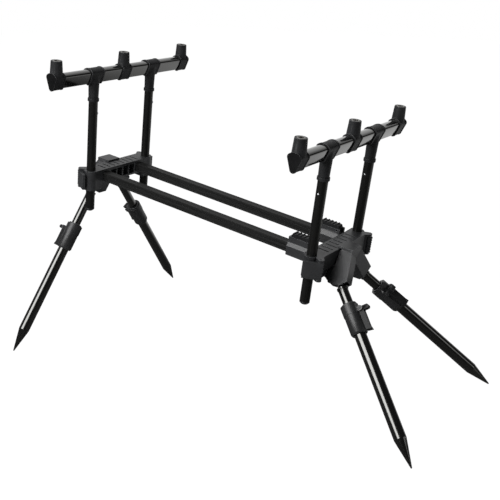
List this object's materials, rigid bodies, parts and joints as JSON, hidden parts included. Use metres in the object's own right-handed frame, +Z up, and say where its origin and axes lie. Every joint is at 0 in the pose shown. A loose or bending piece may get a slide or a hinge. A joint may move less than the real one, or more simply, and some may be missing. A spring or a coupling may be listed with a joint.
{
  "type": "rod pod",
  "caption": "Folding rod pod: buzz bars with threaded posts on sliding uprights, telescopic twin rails and splayed telescopic legs.",
  "frame": {"origin": "on the ground, at the middle of the footprint of the four spike tips", "axes": "+Z up; Y along the rails with the taller far end at +Y; X along the buzz bars"},
  "size_m": [0.4466, 0.7589, 0.5211],
  "materials": {
    "moulded_plastic": "fine moulded grain",
    "satin_plastic": "satin",
    "lever_plastic": "satin",
    "gloss_plastic": "gloss",
    "gloss_black_metal": "gloss black coat on tube",
    "satin_black_metal": "satin black coat",
    "steel": "plain",
    "black_steel": "blackened",
    "plated_steel": "dull plating"
  },
  "bodies": {
    "far_frame": {"far_body": "moulded_plastic", "outer_rails": "satin_black_metal", "rail_collars": "moulded_plastic", "rail_lever_pins": "black_steel", "far_hinge_pins": "black_steel"},
    "near_frame": {"near_body": "moulded_plastic", "inner_rails": "satin_black_metal", "near_hinge_pins": "black_steel"},
    "rail_lever_left": {"rail_lever_left": "lever_plastic"},
    "rail_lever_right": {"rail_lever_right": "lever_plastic"},
    "near_bar_set": {"near_uprights": "satin_black_metal", "near_upright_fittings": "satin_plastic", "near_bar": "gloss_black_metal", "near_end_posts": "satin_plastic", "near_middle_post": "satin_plastic", "near_tees": "satin_plastic", "near_thread_inserts": "plated_steel"},
    "near_left_button": {"near_left_button": "steel"},
    "near_left_clamp_lever": {"near_left_clamp_lever": "lever_plastic"},
    "near_left_leg": {"near_left_knuckle": "satin_plastic", "near_left_inner_tube": "gloss_black_metal"},
    "near_left_foot": {"near_left_outer_tube": "gloss_black_metal", "near_left_lock_collar": "moulded_plastic", "near_left_lever_pin": "black_steel", "near_left_spike": "gloss_plastic"},
    "near_left_lock_lever": {"near_left_lock_lever": "lever_plastic"},
    "near_right_button": {"near_right_button": "steel"},
    "near_right_clamp_lever": {"near_right_clamp_lever": "lever_plastic"},
    "near_right_leg": {"near_right_knuckle": "satin_plastic", "near_right_inner_tube": "gloss_black_metal"},
    "near_right_foot": {"near_right_outer_tube": "gloss_black_metal", "near_right_lock_collar": "moulded_plastic", "near_right_lever_pin": "black_steel", "near_right_spike": "gloss_plastic"},
    "near_right_lock_lever": {"near_right_lock_lever": "lever_plastic"},
    "far_bar_set": {"far_uprights": "satin_black_metal", "far_upright_fittings": "satin_plastic", "far_bar": "gloss_black_metal", "far_end_posts": "satin_plastic", "far_middle_post": "satin_plastic", "far_tees": "satin_plastic", "far_thread_inserts": "plated_steel"},
    "far_left_button": {"far_left_button": "steel"},
    "far_left_clamp_lever": {"far_left_clamp_lever": "lever_plastic"},
    "far_left_leg": {"far_left_knuckle": "satin_plastic", "far_left_inner_tube": "gloss_black_metal"},
    "far_left_foot": {"far_left_outer_tube": "gloss_black_metal", "far_left_lock_collar": "moulded_plastic", "far_left_lever_pin": "black_steel", "far_left_spike": "gloss_plastic"},
    "far_left_lock_lever": {"far_left_lock_lever": "lever_plastic"},
    "far_right_button": {"far_right_button": "steel"},
    "far_right_clamp_lever": {"far_right_clamp_lever": "lever_plastic"},
    "far_right_leg": {"far_right_knuckle": "satin_plastic", "far_right_inner_tube": "gloss_black_metal"},
    "far_right_foot": {"far_right_outer_tube": "gloss_black_metal", "far_right_lock_collar": "moulded_plastic", "far_right_lever_pin": "black_steel", "far_right_spike": "gloss_plastic"},
    "far_right_lock_lever": {"far_right_lock_lever": "lever_plastic"}
  },
  "joints": [
    {"name": "rails_extend", "type": "slide", "parent": "far_frame", "child": "near_frame", "axis": [0, -0.9897, -0.1431], "range_m": [0, 0.25]},
    {"name": "rail_lever_left_flip", "type": "hinge", "parent": "far_frame", "child": "rail_lever_left", "pos_m": [-0.043, -0.14381, 0.25706], "axis": [1, 0, 0], "range_deg": [0, 85]},
    {"name": "rail_lever_right_flip", "type": "hinge", "parent": "far_frame", "child": "rail_lever_right", "pos_m": [0.043, -0.14381, 0.25706], "axis": [1, 0, 0], "range_deg": [0, 85]},
    {"name": "near_bar_height", "type": "slide", "parent": "near_frame", "child": "near_bar_set", "axis": [0, -0.1431, 0.9897], "range_m": [-0.09, 0.04]},
    {"name": "near_left_button_press", "type": "slide", "parent": "near_bar_set", "child": "near_left_button", "axis": [1, 0, 0], "range_m": [0, 0.002], "stiffness_N_per_m": 400, "springref_m": -0.001},
    {"name": "near_left_clamp_open", "type": "hinge", "parent": "near_frame", "child": "near_left_clamp_lever", "pos_m": [-0.07595, -0.17994, 0.23416], "axis": [0, -0.1431, 0.9897], "range_deg": [0, 105]},
    {"name": "near_left_leg_swing", "type": "hinge", "parent": "near_frame", "child": "near_left_leg", "pos_m": [-0.0285, -0.18524, 0.2046], "axis": [-0.8241, -0.081, 0.5606], "range_deg": [-46, 8]},
    {"name": "near_left_leg_extend", "type": "slide", "parent": "near_left_leg", "child": "near_left_foot", "axis": [-0.3935, -0.63, -0.6695], "range_m": [-0.0215, 0.0995]},
    {"name": "near_left_lock_open", "type": "hinge", "parent": "near_left_foot", "child": "near_left_lock_lever", "pos_m": [-0.04637, -0.23666, 0.17088], "axis": [-0.8241, -0.081, 0.5606], "range_deg": [0, 90]},
    {"name": "near_right_button_press", "type": "slide", "parent": "near_bar_set", "child": "near_right_button", "axis": [1, 0, 0], "range_m": [0, 0.002], "stiffness_N_per_m": 400, "springref_m": -0.001},
    {"name": "near_right_clamp_open", "type": "hinge", "parent": "near_frame", "child": "near_right_clamp_lever", "pos_m": [0.07595, -0.17994, 0.23416], "axis": [0, 0.1431, -0.9897], "range_deg": [0, 105]},
    {"name": "near_right_leg_swing", "type": "hinge", "parent": "near_frame", "child": "near_right_leg", "pos_m": [0.0285, -0.18524, 0.2046], "axis": [-0.8241, 0.081, -0.5606], "range_deg": [-46, 8]},
    {"name": "near_right_leg_extend", "type": "slide", "parent": "near_right_leg", "child": "near_right_foot", "axis": [0.3935, -0.63, -0.6695], "range_m": [-0.0215, 0.0995]},
    {"name": "near_right_lock_open", "type": "hinge", "parent": "near_right_foot", "child": "near_right_lock_lever", "pos_m": [0.04637, -0.23666, 0.17088], "axis": [-0.8241, 0.081, -0.5606], "range_deg": [0, 90]},
    {"name": "far_bar_height", "type": "slide", "parent": "far_frame", "child": "far_bar_set", "axis": [0, -0.1431, 0.9897], "range_m": [-0.09, 0.04]},
    {"name": "far_left_button_press", "type": "slide", "parent": "far_bar_set", "child": "far_left_button", "axis": [-0.5, 0.8571, 0.1239], "range_m": [0, 0.002], "stiffness_N_per_m": 400, "springref_m": -0.001},
    {"name": "far_left_clamp_open", "type": "hinge", "parent": "far_frame", "child": "far_left_clamp_lever", "pos_m": [-0.07595, 0.32289, 0.30684], "axis": [0, 0.1431, -0.9897], "range_deg": [0, 105]},
    {"name": "far_left_leg_swing", "type": "hinge", "parent": "far_frame", "child": "far_left_leg", "pos_m": [-0.0285, 0.33634, 0.27999], "axis": [0.8241, 0.081, -0.5606], "range_deg": [0, 54]},
    {"name": "far_left_leg_extend", "type": "slide", "parent": "far_left_leg", "child": "far_left_foot", "axis": [-0.5664, 0.1179, -0.8156], "range_m": [-0.0595, 0.0615]},
    {"name": "far_left_lock_open", "type": "hinge", "parent": "far_left_foot", "child": "far_left_lock_lever", "pos_m": [-0.08514, 0.36397, 0.20071], "axis": [0.8241, 0.081, -0.5606], "range_deg": [0, 90]},
    {"name": "far_right_button_press", "type": "slide", "parent": "far_bar_set", "child": "far_right_button", "axis": [-0.5, 0.8571, 0.1239], "range_m": [0, 0.002], "stiffness_N_per_m": 400, "springref_m": -0.001},
    {"name": "far_right_clamp_open", "type": "hinge", "parent": "far_frame", "child": "far_right_clamp_lever", "pos_m": [0.07595, 0.32289, 0.30684], "axis": [0, -0.1431, 0.9897], "range_deg": [0, 105]},
    {"name": "far_right_leg_swing", "type": "hinge", "parent": "far_frame", "child": "far_right_leg", "pos_m": [0.0285, 0.33634, 0.27999], "axis": [0.8241, -0.081, 0.5606], "range_deg": [0, 54]},
    {"name": "far_right_leg_extend", "type": "slide", "parent": "far_right_leg", "child": "far_right_foot", "axis": [0.5664, 0.1179, -0.8156], "range_m": [-0.0595, 0.0615]},
    {"name": "far_right_lock_open", "type": "hinge", "parent": "far_right_foot", "child": "far_right_lock_lever", "pos_m": [0.08514, 0.36397, 0.20071], "axis": [0.8241, -0.081, 0.5606], "range_deg": [0, 90]}
  ]
}
